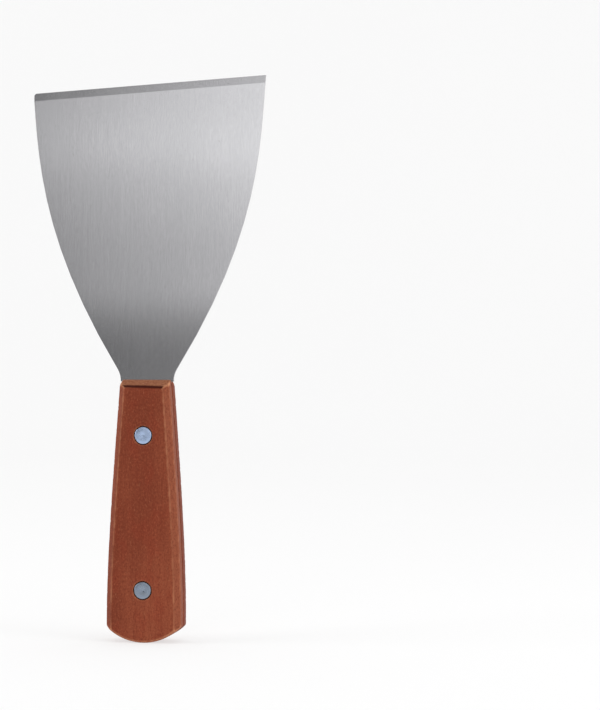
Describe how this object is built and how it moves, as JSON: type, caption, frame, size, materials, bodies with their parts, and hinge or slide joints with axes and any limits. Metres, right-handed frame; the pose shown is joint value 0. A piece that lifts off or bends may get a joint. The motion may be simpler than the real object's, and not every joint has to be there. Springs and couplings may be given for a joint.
{
  "type": "drywall taping knife",
  "caption": "Hand-held taping knife: a flared steel blade with a bevelled tip on a full tang, riveted between two stained wooden handle scales.",
  "frame": {"origin": "the butt's lowest point, on the handle's axis and in the middle of its thickness", "axes": "+Z along the knife from the butt to the blade's tip, X across the blade with the tip's high corner at +X, and the front, where the tip is ground to a bevel, facing -Y"},
  "size_m": [0.101, 0.016, 0.2401],
  "materials": {
    "blade_steel": "brushed along the blade, satin",
    "front_wood": "dark reddish-brown stain, satin, worn pale along its edges",
    "back_wood": "reddish-orange stain with purple-red streaks, satin",
    "rivet_steel": "ground flat, bluish"
  },
  "bodies": {
    "root": {"blade": "blade_steel", "front_scale": "front_wood", "back_scale": "back_wood", "upper_rivet_sleeve": "rivet_steel", "upper_rivet_post": "rivet_steel", "lower_rivet_sleeve": "rivet_steel", "lower_rivet_post": "rivet_steel"}
  },
  "joints": []
}
